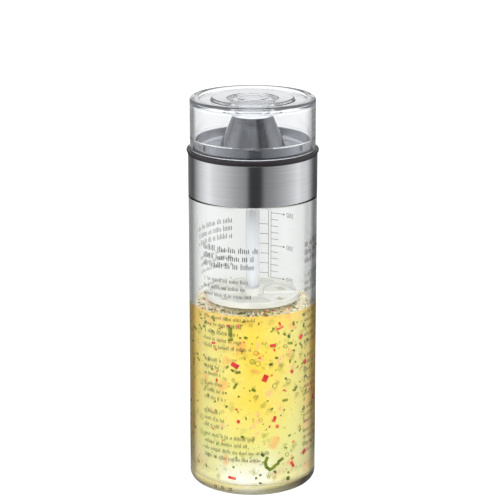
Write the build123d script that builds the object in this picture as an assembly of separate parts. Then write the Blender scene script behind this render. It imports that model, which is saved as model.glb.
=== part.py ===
from build123d import *
import math
import os

# A salad dressing shaker bottle, in millimetres. The origin is the middle of the glass foot, and +Z is up.
# A glass jar with a threaded neck carries a screwed closure: a black collar in a brushed steel band, a drip
# dish and a pour spout. A mixing disc hangs from the spout on a clear rod. A clear cap covers the spout.

# Clearances shared by all pieces
fit_gap = 0.1            # radial gap of a fixed fit, such as the band on the collar
seat_gap = 0.2           # gap under a soft or lift-off piece at rest
overrun = 1.0            # how far a cut or a fused rib runs past its face

# Glass jar, from the mouth outwards and from the foot upwards
mouth_radius = 25.6      # inside of the neck
glass_wall = 3.0
neck_height = 13.9       # from the shoulder to the rim
rim_round = 1.3
shoulder_height = 157.6  # from the foot to the flat shoulder
shoulder_round = 1.8
shoulder_slope = 4.0     # height of the inner shoulder's slope
shoulder_gap = 0.4       # radial gap between the shoulder and the band
step_gap = 0.3           # from the step under the band up to the band
step_round = 0.8
foot_round = 3.6
foot_land = 3.4          # width of the flat ring that the jar stands on
foot_rise = 3.0          # how far the underside rises to its middle
floor_thickness = 3.6
floor_round = 4.5

# Thread of the neck and the collar
thread_pitch = 4.5
thread_depth = 1.4
thread_turns = 1.3
thread_root = 2.0        # width of the ridge where it leaves its wall
thread_tip = 0.9
thread_gap = 0.5         # radial gap between a ridge and the facing wall
thread_start = 4.2       # from the shoulder to the middle of the first ridge

# Collar, steel band and the soft rings
collar_wall = 1.8
collar_lift = 1.0        # from the shoulder to the bottom of the collar
deck_thickness = 3.4
flange_thickness = 0.9   # black lip above the steel band
band_wall = 0.7
band_drop = 3.4          # how far the band hangs over the shoulder
band_proud = 0.1         # how far the band stands past the glass
gasket_thickness = 1.1
gasket_overlap = 0.4     # how far the gasket reaches inside the mouth
bead_height = 1.4
bead_proud = 0.6         # how far the soft bead stands past the band
bead_width = 3.4

# Drip dish
dish_setback = 3.4       # from the band's face to the dish's wall
dish_height = 6.8
sheet = 0.8              # steel sheet of the dish and the spout
dish_round = 2.6
rim_edge = 0.3

# Pour spout, its liner and the nut that clamps them
spout_top_radius = 10.0
spout_slope = 0.41       # growth of the radius per unit of height
spout_height = 19.1      # from the deck to the lip
spout_foot = 2.0         # width of the foot that lies on the dish
lip_thickness = 0.7
liner_wall = 1.4
mouth_lip = 1.8          # from the lip's edge to the pour hole
stem_wall = 2.5
stem_reach = 4.6         # how far the stem passes below the deck
hub_wall = 1.8
hub_height = 12.0
hub_crown = 1.6          # closed end above the rod
web_count = 3
web_thickness = 1.6
web_height = 9.5
washer_thickness = 0.9
washer_width = 3.4
nut_width = 5.0
nut_thickness = 3.4
nut_grips = 8
nut_grip_radius = 1.5

# Mixer
rod_radius = 3.6
rod_bore = 1.7
rod_length = 88.0
disc_radius = 24.0
disc_rim_height = 3.2
disc_rim_wall = 1.3
disc_web = 1.4
disc_hub_wall = 2.2
disc_hub_height = 5.2
disc_rise = 4.5          # from the rod's lower end to the bottom of the disc
slot_count = 6
slot_width = 3.8
slot_angle = 22.0        # degrees of the circle that one slot takes
slot_circle_share = 0.7  # of the disc's radius
rib_thickness = 1.1
rib_height = 1.0
tip_head_radius = 2.7
tip_head_height = 1.2
tip_shank = 6.0

# Clear cap and its stopper
cap_height = 26.3
skirt_height = 5.6       # from the cap's edge to the inner ledge
skirt_wall = 1.5
ledge_width = 0.6        # the ledge slopes at 45 degrees
lug_count = 3
lug_turn = 90.0          # degrees to the first lug, at the back
lug_angle = 13.0         # degrees of the circle that one lug takes
lug_height = 3.0
lug_rise = 2.0           # from the cap's edge to a lug
lug_gap = 0.15
skirt_gap = 0.9          # from the dish to the skirt
cap_plate = 3.4
cap_edge_round = 1.5
cap_inner_round = 2.0
cap_rim_width = 4.5      # from the cap's side to the ring-shaped valley in its top
valley_width = 6.4
valley_depth = 1.5
lens_radius = 6.9
lens_height = 0.4
stub_wall = 3.3
stopper_radius = 6.9
stopper_flange = 1.2
stopper_nose_length = 3.6
stopper_nose_taper = 0.6
nose_gap = 0.4

# Contents
fill_drop = 3.0          # from the mixing disc down to the liquid
fill_side_gap = 0.3

# Radii that follow, from the mouth outwards
neck_radius = mouth_radius + glass_wall
thread_radius = neck_radius + thread_depth
collar_bore = thread_radius + thread_gap
collar_radius = collar_bore + collar_wall
band_bore = collar_radius + fit_gap
band_radius = band_bore + band_wall
body_radius = band_radius - band_proud
shoulder_radius = band_bore - shoulder_gap
cavity_radius = body_radius - glass_wall
dish_radius = band_radius - dish_setback
skirt_bore = dish_radius + skirt_gap
cap_radius = skirt_bore + skirt_wall
cap_bore = skirt_bore - ledge_width
valley_radius = cap_radius - cap_rim_width
plateau_radius = valley_radius - valley_width
bead_radius = band_radius + bead_proud

# Heights that follow, from the foot upwards
rim_height = shoulder_height + neck_height
gasket_bottom = rim_height + seat_gap
deck_bottom = gasket_bottom + gasket_thickness
deck_top = deck_bottom + deck_thickness
band_bottom = shoulder_height - band_drop
step_height = band_bottom - step_gap
band_top = deck_top - flange_thickness
dish_floor = deck_top + sheet
dish_top = deck_top + dish_height
spout_top = deck_top + spout_height
cap_bottom = deck_top + bead_height + seat_gap
cap_top = cap_bottom + cap_height
plate_bottom = cap_top - cap_plate
stem_bottom = deck_bottom - stem_reach
stopper_bottom = spout_top + seat_gap
rod_top = stem_bottom + hub_height + stem_wall
rod_bottom = rod_top - rod_length
disc_bottom = rod_bottom + disc_rise
tip_bottom = rod_bottom - tip_head_height
fill_height = disc_bottom - fill_drop
well_bottom = tip_bottom - fill_side_gap

# Radii of the spout and its liner at a height
stem_radius = spout_top_radius + spout_slope * (spout_height - sheet) - sheet - liner_wall
stem_bore = stem_radius - stem_wall
pour_hole = spout_top_radius - mouth_lip
hub_radius = rod_radius + hub_wall


def spout_radius(height):
    """Outside of the steel cone at a height."""
    return spout_top_radius + spout_slope * (spout_top - height)


def turned(outline):
    """A solid of revolution about Z, from closed lines drawn as (radius, height)."""
    return revolve(Plane.XZ * make_face(outline), Axis.Z)


def turned_points(*points):
    """A solid of revolution from straight-sided points."""
    return turned(Polyline(*points, close=True))


def ring(outer, inner, bottom, top):
    """A plain ring or, with no inner radius, a disc."""
    solid = Pos(0, 0, bottom) * extrude(Circle(outer), top - bottom)
    if inner > 0:
        solid -= Pos(0, 0, bottom - overrun) * extrude(Circle(inner), top - bottom + 2 * overrun)
    return solid


def rings_at(solid, radius, height):
    """The circular edges of a turned solid that lie at a radius and a height."""
    near = fit_gap / 2
    found = []
    for edge in solid.edges().filter_by(GeomType.CIRCLE):
        if abs(edge.radius - radius) < near and abs(edge.arc_center.Z - height) < near:
            found.append(edge)
    return found


def rounded(solid, radius, *places):
    """Rounds the circular edges at the given (radius, height) places."""
    edges = [edge for place in places for edge in rings_at(solid, *place)]
    return fillet(edges, radius)


def dome(edge_radius, height, rise):
    """Half of a shallow arc, from the edge up to the axis."""
    sphere = (edge_radius**2 + rise**2) / (2 * rise)
    half_turn = math.asin(edge_radius / sphere) / 2
    middle = (sphere * math.sin(half_turn), height + rise - sphere * (1 - math.cos(half_turn)))
    return ThreePointArc((edge_radius, height), middle, (0, height + rise))


def thread(root_radius, tip_radius, start, turns, sink):
    """A helical ridge with a flat tip. It starts over +X and runs sink deep into its wall."""
    spine = Helix(thread_pitch, turns * thread_pitch, root_radius, center=(0, 0, start))
    reach = tip_radius - root_radius
    back = math.copysign(sink, -reach)
    flare = (thread_root - thread_tip) / 2 * sink / abs(reach)
    section = Polyline(
        (back, -thread_root / 2 - flare),
        (reach, -thread_tip / 2),
        (reach, thread_tip / 2),
        (back, thread_root / 2 + flare),
        close=True,
    )
    across = Plane(origin=spine @ 0, x_dir=(1, 0, 0), z_dir=spine % 0)
    return sweep(across * make_face(section), path=spine, is_frenet=True)


def cavity(gap, top):
    """The space inside the jar, drawn in by a gap, up to a height below the shoulder's slope."""
    radius = cavity_radius - gap
    floor = floor_thickness + gap
    outline = [
        dome(radius, floor, foot_rise),
        Line((radius, floor), (radius, top)),
        Line((radius, top), (0, top)),
        Line((0, top), (0, floor + foot_rise)),
    ]
    solid = turned(outline)
    return rounded(solid, floor_round - gap, (radius, floor))


def glass_jar():
    """Jar with a raised foot, a step that the band hangs over, a rounded shoulder and a threaded neck."""
    land_outer = body_radius - foot_round
    land_inner = land_outer - foot_land
    outer = turned([
        dome(land_inner, 0, foot_rise),
        Line((land_inner, 0), (body_radius, 0)),
        Line((body_radius, 0), (body_radius, step_height)),
        Line((body_radius, step_height), (shoulder_radius, step_height)),
        Line((shoulder_radius, step_height), (shoulder_radius, shoulder_height)),
        Line((shoulder_radius, shoulder_height), (neck_radius, shoulder_height)),
        Line((neck_radius, shoulder_height), (neck_radius, rim_height)),
        Line((neck_radius, rim_height), (0, rim_height)),
        Line((0, rim_height), (0, foot_rise)),
    ])
    outer = rounded(outer, foot_round, (body_radius, 0))
    outer = rounded(outer, step_round, (body_radius, step_height))
    outer = rounded(outer, shoulder_round, (shoulder_radius, shoulder_height))
    slope_top = shoulder_height
    slope_bottom = slope_top - shoulder_slope
    space = cavity(0, slope_bottom)
    space += turned_points(
        (0, slope_bottom - overrun),
        (cavity_radius, slope_bottom - overrun),
        (cavity_radius, slope_bottom),
        (mouth_radius, slope_top),
        (mouth_radius, rim_height + overrun),
        (0, rim_height + overrun),
    )
    jar = outer - space
    jar = rounded(jar, rim_round, (neck_radius, rim_height), (mouth_radius, rim_height))
    start = shoulder_height + thread_start
    return jar + thread(neck_radius, thread_radius, start, thread_turns, glass_wall / 3)


def dressing():
    """The liquid, from the jar's floor to just under the mixing disc, with a well around the rod's end."""
    well = ring(rod_radius + fill_side_gap, 0, well_bottom, fill_height + overrun)
    return cavity(fill_side_gap, fill_height) - well


def threaded_collar():
    """Black collar: a threaded skirt, a deck and the lip that shows above the steel band."""
    skirt_bottom = shoulder_height + collar_lift
    hole = stem_radius + fit_gap
    body = turned_points(
        (collar_bore, skirt_bottom),
        (collar_radius, skirt_bottom),
        (collar_radius, band_top),
        (band_radius, band_top),
        (band_radius, deck_top),
        (hole, deck_top),
        (hole, deck_bottom),
        (collar_bore, deck_bottom),
    )
    body = chamfer(rings_at(body, band_radius, deck_top), flange_thickness / 4)
    start = shoulder_height + thread_start - thread_pitch / 2
    tip = neck_radius + thread_gap
    return body + thread(collar_bore, tip, start, thread_turns, collar_wall / 3)


def steel_band():
    """Brushed sleeve over the collar, with softened ends."""
    body = ring(band_radius, band_bore, band_bottom, band_top)
    return rounded(body, band_wall / 3, (band_radius, band_bottom), (band_radius, band_top))


def neck_gasket():
    """Flat soft ring between the glass rim and the deck."""
    inner = mouth_radius - gasket_overlap
    return ring(collar_bore - seat_gap, inner, gasket_bottom, deck_bottom)


def cap_seal_ring():
    """Soft ring that the cap's edge comes down on, with a bead past the band."""
    top = deck_top + bead_height
    body = ring(bead_radius, bead_radius - bead_width, deck_top, top)
    return rounded(body, bead_height / 3, (bead_radius, deck_top), (bead_radius, top))


def drip_dish():
    """Pressed steel dish on the deck, with a round hole for the spout's stem."""
    hole = stem_radius + fit_gap
    body = turned_points(
        (hole, deck_top),
        (dish_radius, deck_top),
        (dish_radius, dish_top),
        (dish_radius - sheet, dish_top),
        (dish_radius - sheet, dish_floor),
        (hole, dish_floor),
    )
    body = rounded(body, dish_round, (dish_radius, deck_top))
    body = rounded(body, dish_round - sheet, (dish_radius - sheet, dish_floor))
    return rounded(body, rim_edge, (dish_radius, dish_top), (dish_radius - sheet, dish_top))


def pour_spout():
    """Steel cone on the dish's floor."""
    foot_top = dish_floor + sheet
    foot_radius = spout_radius(foot_top)
    cone_top = spout_top - lip_thickness
    return turned_points(
        (foot_radius - sheet, dish_floor),
        (foot_radius + spout_foot, dish_floor),
        (foot_radius + spout_foot, foot_top),
        (foot_radius, foot_top),
        (spout_radius(cone_top), cone_top),
        (spout_radius(cone_top) - sheet, cone_top),
        (foot_radius - sheet, foot_top),
    )


def liner_radius(height):
    """Outside of the liner at a height inside the cone."""
    return spout_radius(height) - sheet - fit_gap


def spout_liner():
    """Liner of the cone: a lip on top, the stem through the deck, and webs that carry the rod's hub."""
    cone_top = spout_top - lip_thickness
    bend = dish_floor + sheet
    body = turned_points(
        (stem_bore, stem_bottom),
        (stem_radius, stem_bottom),
        (stem_radius, bend),
        (liner_radius(cone_top), cone_top),
        (spout_top_radius, cone_top),
        (spout_top_radius, spout_top),
        (pour_hole, spout_top),
        (pour_hole, cone_top),
        (stem_bore, bend),
    )
    body = rounded(body, lip_thickness / 3, (spout_top_radius, spout_top), (pour_hole, spout_top))
    hub_top = rod_top + hub_crown
    hub = ring(hub_radius, 0, stem_bottom, hub_top)
    hub = rounded(hub, hub_crown, (hub_radius, hub_top))
    web = Box(
        stem_bore + stem_wall / 2,
        web_thickness,
        web_height,
        align=(Align.MIN, Align.CENTER, Align.MIN),
    )
    for turn in range(web_count):
        angle = (turn + 1 / 2) * 360 / web_count
        hub += Rot(0, 0, angle) * Pos(0, 0, stem_bottom) * web
    body += hub
    return body - ring(rod_radius + fit_gap, 0, stem_bottom - overrun, rod_top + fit_gap)


def deck_washer():
    """Soft washer between the deck and the clamping nut."""
    inner = stem_radius + fit_gap
    return ring(inner + washer_width, inner, deck_bottom - washer_thickness, deck_bottom)


def clamp_nut():
    """Ring nut that pulls the liner, the cone and the dish down on the deck, with finger grips."""
    top = deck_bottom - washer_thickness
    bottom = top - nut_thickness
    inner = stem_radius + fit_gap
    body = ring(inner + nut_width, inner, bottom, top)
    grip = Pos(inner + nut_width, 0, bottom - overrun) * extrude(
        Circle(nut_grip_radius), nut_thickness + 2 * overrun
    )
    for turn in range(nut_grips):
        body -= Rot(0, 0, turn * 360 / nut_grips) * grip
    return body


def mixer_rod():
    """Clear tube from the hub down to the mixing disc."""
    body = ring(rod_radius, rod_bore, rod_bottom, rod_top)
    edge = (rod_radius - rod_bore) / 4
    return chamfer(rings_at(body, rod_radius, rod_top) + rings_at(body, rod_radius, rod_bottom), edge)


def arc_slot(middle_radius, width, angle, bottom, top):
    """A cutter shaped as part of a ring, centred on +X, with square ends."""
    full = ring(middle_radius + width / 2, middle_radius - width / 2, bottom, top)
    reach = middle_radius + width
    half = math.radians(angle / 2)
    wedge = Polyline(
        (0, 0),
        (reach * math.cos(half), -reach * math.sin(half)),
        (reach / math.cos(half), 0),
        (reach * math.cos(half), reach * math.sin(half)),
        close=True,
    )
    return full & (Pos(0, 0, bottom) * extrude(make_face(wedge), top - bottom))


def mixer_disc():
    """Perforated disc: a rim, a web with curved slots, ribs between them and a hub on the rod."""
    bore = rod_radius + fit_gap
    rim_top = disc_bottom + disc_rim_height
    web_top = disc_bottom + disc_web
    body = ring(disc_radius, 0, disc_bottom, rim_top)
    body = rounded(body, disc_rim_wall / 3, (disc_radius, disc_bottom), (disc_radius, rim_top))
    body -= ring(disc_radius - disc_rim_wall, 0, web_top, rim_top + overrun)
    body += ring(bore + disc_hub_wall, 0, disc_bottom, disc_bottom + disc_hub_height)
    pitch = 360 / slot_count
    slot_circle = disc_radius * slot_circle_share
    slot = arc_slot(slot_circle, slot_width, slot_angle, disc_bottom - overrun, web_top + overrun)
    rib = Pos(0, 0, web_top) * Box(
        disc_radius - disc_rim_wall / 2,
        rib_thickness,
        rib_height,
        align=(Align.MIN, Align.CENTER, Align.MIN),
    )
    for turn in range(slot_count):
        body += Rot(0, 0, turn * pitch) * rib
        body -= Rot(0, 0, (turn + 1 / 2) * pitch) * slot
    return body - ring(bore, 0, disc_bottom - overrun, rod_top)


def rod_tip():
    """End plug that holds the disc on the rod."""
    head = ring(tip_head_radius, 0, tip_bottom, rod_bottom)
    head = rounded(head, tip_head_height / 2, (tip_head_radius, tip_bottom))
    return head + ring(rod_bore - fit_gap, 0, rod_bottom, rod_bottom + tip_shank)


def cap_lugs():
    """Small pads inside the skirt that guide the cap on the dish's wall."""
    bottom = cap_bottom + lug_rise
    inner = dish_radius + lug_gap
    outer = skirt_bore + skirt_wall / 2
    lug = arc_slot((inner + outer) / 2, outer - inner, lug_angle, bottom, bottom + lug_height)
    lugs = []
    for turn in range(lug_count):
        lugs.append(Rot(0, 0, lug_turn + turn * 360 / lug_count) * lug)
    return lugs


def clear_cap():
    """Clear cover: a stepped skirt, a thick top with a ring-shaped valley, and a stub for the stopper."""
    ledge = cap_bottom + skirt_height
    body = turned_points(
        (skirt_bore, cap_bottom),
        (cap_radius, cap_bottom),
        (cap_radius, cap_top),
        (valley_radius, cap_top),
        (valley_radius, cap_top - valley_depth),
        (plateau_radius, cap_top - valley_depth),
        (plateau_radius, cap_top),
        (lens_radius, cap_top),
        (lens_radius, cap_top - lens_height),
        (0, cap_top - lens_height),
        (0, plate_bottom),
        (cap_bore, plate_bottom),
        (cap_bore, ledge + ledge_width),
        (skirt_bore, ledge),
    )
    body = rounded(body, cap_edge_round, (cap_radius, cap_top))
    body = rounded(body, cap_inner_round, (cap_bore, plate_bottom))
    valley = [(valley_radius, cap_top), (plateau_radius, cap_top)]
    valley += [(valley_radius, cap_top - valley_depth), (plateau_radius, cap_top - valley_depth)]
    body = rounded(body, valley_depth / 3, *valley)
    stub_bore = stopper_radius + fit_gap
    body += ring(stub_bore + stub_wall, stub_bore, stopper_bottom + stopper_flange, plate_bottom + overrun)
    for lug in cap_lugs():
        body += lug
    return body


def stopper():
    """Soft stopper in the cap's stub. Its nose closes the pour hole."""
    shoulder = stopper_bottom + stopper_flange
    top = plate_bottom - fit_gap
    nose = pour_hole - nose_gap
    flange = stopper_radius + fit_gap + stub_wall
    return turned_points(
        (0, stopper_bottom - stopper_nose_length),
        (nose - stopper_nose_taper, stopper_bottom - stopper_nose_length),
        (nose, stopper_bottom),
        (flange, stopper_bottom),
        (flange, shoulder),
        (stopper_radius, shoulder),
        (stopper_radius, top),
        (0, top),
    )


pieces = {
    "glass_jar": glass_jar,
    "dressing": dressing,
    "neck_gasket": neck_gasket,
    "threaded_collar": threaded_collar,
    "steel_band": steel_band,
    "cap_seal_ring": cap_seal_ring,
    "drip_dish": drip_dish,
    "pour_spout": pour_spout,
    "spout_liner": spout_liner,
    "deck_washer": deck_washer,
    "clamp_nut": clamp_nut,
    "mixer_rod": mixer_rod,
    "mixer_disc": mixer_disc,
    "rod_tip": rod_tip,
    "clear_cap": clear_cap,
    "stopper": stopper,
}

os.makedirs("parts", exist_ok=True)
for name, make in pieces.items():
    export_step(make(), f"parts/{name}.step")
print("foot to cap", round(cap_top, 2), "body radius", body_radius, "fill", round(fill_height, 2))
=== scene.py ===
# %% [markdown]
# # A salad dressing shaker bottle
# The bottle is a glass jar half full of dressing. A steel-banded closure with a pour spout screws on its
# neck, a mixing disc hangs inside on a clear rod, and a clear cap covers the spout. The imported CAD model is
# the frame: it gives each piece its size, its place and the body that it moves with.

import bmesh
import bpy
import math
import random
from mathutils import Matrix, Vector, noise


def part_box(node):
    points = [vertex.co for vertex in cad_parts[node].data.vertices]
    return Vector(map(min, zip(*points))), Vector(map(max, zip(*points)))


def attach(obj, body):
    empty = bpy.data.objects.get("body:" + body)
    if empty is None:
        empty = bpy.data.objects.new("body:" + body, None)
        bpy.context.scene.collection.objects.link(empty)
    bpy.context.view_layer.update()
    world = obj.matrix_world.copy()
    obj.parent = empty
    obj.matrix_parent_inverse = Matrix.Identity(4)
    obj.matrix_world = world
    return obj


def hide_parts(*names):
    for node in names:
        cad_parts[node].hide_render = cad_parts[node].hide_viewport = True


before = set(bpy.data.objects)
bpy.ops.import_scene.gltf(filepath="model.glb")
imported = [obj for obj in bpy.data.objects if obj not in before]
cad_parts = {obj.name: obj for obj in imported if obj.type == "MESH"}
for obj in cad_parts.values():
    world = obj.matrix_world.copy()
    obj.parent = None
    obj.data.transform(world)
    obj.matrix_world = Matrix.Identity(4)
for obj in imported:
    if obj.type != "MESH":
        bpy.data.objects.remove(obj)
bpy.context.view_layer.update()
scene = bpy.context.scene

# %% [markdown]
# ## Sizes
# Lengths are written in millimetres, as on a drawing, and turned into metres where a mesh is made. A node's
# box in the frame gives the reach of each round piece, so a turned piece always fits the node that it
# stands for.

# %% Measure the round nodes
MM = 0.001
TURN = 2 * math.pi


def reach(node):
    """A round node's outer radius, bottom and top in millimetres."""
    low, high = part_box(node)
    return high.x / MM, low.z / MM, high.z / MM


jar_radius, foot, rim = reach("glass_jar")
band_radius, band_bottom, band_top = reach("steel_band")
cap_radius, cap_bottom, cap_top = reach("clear_cap")
dish_radius, deck, dish_top = reach("drip_dish")
print("jar", round(jar_radius, 1), "rim", round(rim, 1), "cap top", round(cap_top, 1))

# %% [markdown]
# ## Turned pieces
# Almost every piece is round, as if made on a lathe or blown in a mould. Its outline is drawn in the XZ
# plane with a few corners, each corner is rounded by a vertex bevel, and a full spin turns it round the
# axis. An outline that ends on the axis stays open there, so the poles close without a wall along the axis.

# %% Turn an outline round the axis
ROUND_STEPS = 160
CORNER_STEPS = 5
WELD = 0.002
HOLD = 0.12
LONG_SIDE = 0.6
AXIS = (0, 0, 1)


def corner_cut(before, here, after, radius):
    """How much of each side a rounding of this radius takes at a corner."""
    here = Vector(here)
    angle = (Vector(before) - here).angle(Vector(after) - here)
    return radius / math.tan(angle / 2)


def hold_sides(bm):
    """Adds a point near both ends of every long side, so that sides stay flat beside smooth corners."""
    for edge in bm.edges[:]:
        length = edge.calc_length()
        if length > LONG_SIDE * MM:
            share = HOLD * MM / length
            edge, near = bmesh.utils.edge_split(edge, edge.verts[0], share)
            far_edge = max(near.link_edges, key=lambda side: side.calc_length())
            bmesh.utils.edge_split(far_edge, far_edge.other_vert(near), share / (1 - share))


def turned(corners, closed=True, steps=ROUND_STEPS):
    """A solid of revolution from corners of (radius, height) or (radius, height, rounding)."""
    bm = bmesh.new()
    verts = [bm.verts.new((corner[0] * MM, 0, corner[1] * MM)) for corner in corners]
    for i, vert in enumerate(verts):
        if i or closed:
            bm.edges.new((verts[i - 1], vert))
    for i, corner in enumerate(corners):
        if len(corner) == 3:
            after = corners[(i + 1) % len(corners)]
            cut = corner_cut(corners[i - 1][:2], corner[:2], after[:2], corner[2])
            bmesh.ops.bevel(
                bm, geom=[verts[i]], offset=cut * MM, offset_type="OFFSET", segments=CORNER_STEPS,
                profile=0.5, affect="VERTICES", material=-1,
            )
    hold_sides(bm)
    bmesh.ops.spin(bm, geom=bm.verts[:] + bm.edges[:], axis=AXIS, angle=TURN, steps=steps, use_merge=True)
    bmesh.ops.remove_doubles(bm, verts=bm.verts, dist=WELD * MM)
    bmesh.ops.recalc_face_normals(bm, faces=bm.faces)
    return bm


# %% [markdown]
# A tube is a ring of rectangular section, a sweep carries any section part of the way round, and a dome is
# the shallow curve in which an outline reaches the axis.

# %% Tubes, sweeps and domes
DOME_STEPS = 8


def tube(inner, outer, low, high, rounds, steps=ROUND_STEPS):
    """A ring of rectangular section. Its roundings go from the low inner corner round the outside."""
    corners = ((inner, low), (outer, low), (outer, high), (inner, high))
    return turned([corner + ((cut,) if cut else ()) for corner, cut in zip(corners, rounds)], steps=steps)


def swept(bm, section, start, angle, steps, climb=0.0):
    """Sweeps a closed section of (radius, height) points round the axis from a starting angle."""
    x, y = math.cos(start) * MM, math.sin(start) * MM
    face = bm.faces.new([bm.verts.new((radius * x, radius * y, level * MM)) for radius, level in section])
    bmesh.ops.spin(bm, geom=[face], axis=AXIS, dvec=(0, 0, climb * MM), angle=angle, steps=steps)
    bmesh.ops.recalc_face_normals(bm, faces=bm.faces)


def dome(radius, height, rise, start=0.0):
    """Points of a shallow arc from near the edge at a radius up to the axis."""
    shares = [start + (1 - start) * i / DOME_STEPS for i in range(1, DOME_STEPS + 1)]
    return [(radius * (1 - share), height + rise * (1 - (1 - share) ** 2)) for share in shares]


# %% [markdown]
# ## Placing a piece
# A finished piece gets its mesh, its finish, the body that it rides on and the CAD nodes that it stands for,
# which are hidden. Faces are smooth except across sharp edges.

# %% Place a piece on its body
SHARP_EDGE = math.radians(38)


def make(name, bm, finish):
    """Makes a mesh object of a bmesh."""
    mesh = bpy.data.meshes.new(name)
    bm.to_mesh(mesh)
    bm.free()
    mesh.materials.append(finish)
    piece = bpy.data.objects.new(name, mesh)
    scene.collection.objects.link(piece)
    return piece


def place(name, bm, finish, body, nodes=()):
    """Makes a piece of the bottle, puts it on its body and hides the CAD nodes that it stands for."""
    piece = make(name, bm, finish)
    piece.data.shade_smooth()
    piece.data.set_sharp_from_angle(angle=SHARP_EDGE)
    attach(piece, body)
    if nodes:
        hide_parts(*nodes)
    print(name, len(piece.data.polygons), "faces on", body)


# %% [markdown]
# ## Writing finishes
# A finish is a tree of shader nodes, and two small classes keep it readable. A Field is a value that varies
# over the surface and takes Python's arithmetic.

# %% Fields
def feed(tree, socket, value):
    """Sets a socket to a number or a colour, or links it to a Field."""
    if isinstance(value, Field):
        tree.links.new(value.socket, socket)
    elif value is not None:
        socket.default_value = value


class Field:
    """A value that varies over a surface."""

    def __init__(self, tree, socket):
        self.tree = tree
        self.socket = socket

    def maths(self, operation, *values, clamp=False):
        node = self.tree.nodes.new("ShaderNodeMath")
        node.operation = operation
        node.use_clamp = clamp
        for socket, value in zip(node.inputs, values):
            feed(self.tree, socket, value)
        return Field(self.tree, node.outputs[0])

    def __add__(self, other):
        return self.maths("ADD", self, other)

    def __sub__(self, other):
        return self.maths("SUBTRACT", self, other)

    def __mul__(self, other):
        return self.maths("MULTIPLY", self, other)

    def __truediv__(self, other):
        return self.maths("DIVIDE", self, other)

    def __pow__(self, other):
        return self.maths("POWER", self, other)

    def between(self, low, high):
        """0 below low, 1 above high, and a straight rise between."""
        return self.maths("MULTIPLY_ADD", self, 1 / (high - low), -low / (high - low), clamp=True)

    def cosine(self):
        return self.maths("COSINE", self)

    def largest(self, other):
        return self.maths("MAXIMUM", self, other)


def distance(x, y):
    """How far a place is from the axis."""
    return (x * x + y * y) ** 0.5


def angle_round(x, y):
    """The angle of a place round the axis, with 0 at the front."""
    return x.maths("ARCTAN2", x, y * -1)


# %% [markdown]
# A Finish makes nodes from their type and sockets, and ends as a material.

# %% Finishes
class Finish:
    """A material, or the world, and the nodes that make it."""

    def __init__(self, name, owner=None):
        self.owner = owner or bpy.data.materials.new(name)
        self.owner.use_nodes = True
        self.tree = self.owner.node_tree
        self.tree.nodes.clear()

    def node(self, kind, sockets, output=0):
        """Makes a node, sets its sockets and returns one of its outputs as a Field."""
        node = self.tree.nodes.new("ShaderNode" + kind)
        for name, value in sockets.items():
            feed(self.tree, node.inputs[name], value)
        return Field(self.tree, node.outputs[output])

    def place(self):
        """The place on the piece, in metres."""
        return self.node("TexCoord", {}, "Object")

    def axes(self):
        """The x, y and z of the place, each as a Field."""
        split = self.tree.nodes.new("ShaderNodeSeparateXYZ")
        feed(self.tree, split.inputs[0], self.place())
        return [Field(self.tree, output) for output in split.outputs]

    def point(self, x, y, z):
        return self.node("CombineXYZ", {"X": x, "Y": y, "Z": z})

    def clouds(self, scale, detail, where=None):
        """Noise from 0 to 1 with this many lumps to the metre."""
        sockets = {"Vector": where or self.place(), "Scale": scale, "Detail": detail}
        return self.node("TexNoise", sockets)

    def blend(self, share, first, second):
        """A colour that goes from the first to the second."""
        node = self.tree.nodes.new("ShaderNodeMix")
        node.data_type = "RGBA"
        feed(self.tree, node.inputs[0], share)
        feed(self.tree, node.inputs[6], first)
        feed(self.tree, node.inputs[7], second)
        return Field(self.tree, node.outputs[2])

    def bump(self, height, depth):
        """A normal from a height field, with its depth in millimetres."""
        return self.node("Bump", {"Height": height, "Distance": depth * MM})

    def surface(self, sockets):
        """The physically based shader of the piece."""
        return self.node("BsdfPrincipled", sockets)

    def lit(self, colour, strength=1.0):
        return self.node("Emission", {"Color": colour, "Strength": strength})

    def mix(self, share, first, second):
        return self.node("MixShader", {0: share, 1: first, 2: second})

    def show(self, shader, ending="OutputMaterial"):
        """Ends the tree and returns the material or the world."""
        output = self.tree.nodes.new("ShaderNode" + ending)
        feed(self.tree, output.inputs["Surface"], shader)
        return self.owner


# %% [markdown]
# Colours are written the way a painter's chart gives them, from 0 to 255, and turned into amounts of light.

# %% Colours
def linear(value):
    """One chart value from 0 to 1 as an amount of light."""
    return value / 12.92 if value < 0.04045 else ((value + 0.055) / 1.055) ** 2.4


def light(red, green, blue):
    """A linear colour from chart values of 0 to 255."""
    return tuple(linear(value / 255) for value in (red, green, blue)) + (1.0,)


def grey(level):
    """A neutral amount of light."""
    return (level, level, level, 1.0)


def dimmed(colour, share):
    """A colour with this share of its light."""
    return tuple(value * share for value in colour[:3]) + (1.0,)


print("mid grey is", round(linear(0.5), 3))

# %% [markdown]
# ## Clear finishes
# Real glass bends and reflects light, and still lets the lamps reach what is inside. A ray tracer finds
# that last part slowly, so rays to the lamps pass straight through: the Light Path node swaps in a
# Transparent shader for them. Painted shade darkens a clear wall where it is seen at a slant. The thick heel
# of the jar gets more painted shade, most of all at its right, and the cap's upper rim gets a painted glow.

# %% Glass and clear plastic
LAMP_TINT = 0.93
# Painted shade on the jar's heel: where it lies and its colours at the front, left and right.
HEEL_EDGE = (0.0054, 0.003)
HEEL_START = (0.0292, 0.0302)
HEEL_LIFT = 0.0024
HEEL_SHADE_FRONT = (0.22, 0.235, 0.36, 1.0)
HEEL_SHADE_LEFT = (0.16, 0.14, 0.13, 1.0)
HEEL_SHADE_RIGHT = (0.012, 0.01, 0.012, 1.0)
LEFT_ARC = ((-0.2, -1.2), (-2.9, -2.0))
RIGHT_ARC = ((0.0, 0.9), (2.9, 1.9))
# Painted shade where the clear wall is seen at a slant.
EDGE_FACING = (0.56, 0.67)
EDGE_PAINTED_SHADE = (0.27, 0.28, 0.28, 1.0)
OUTER_WALL = (0.0311, 0.0316)
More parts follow.
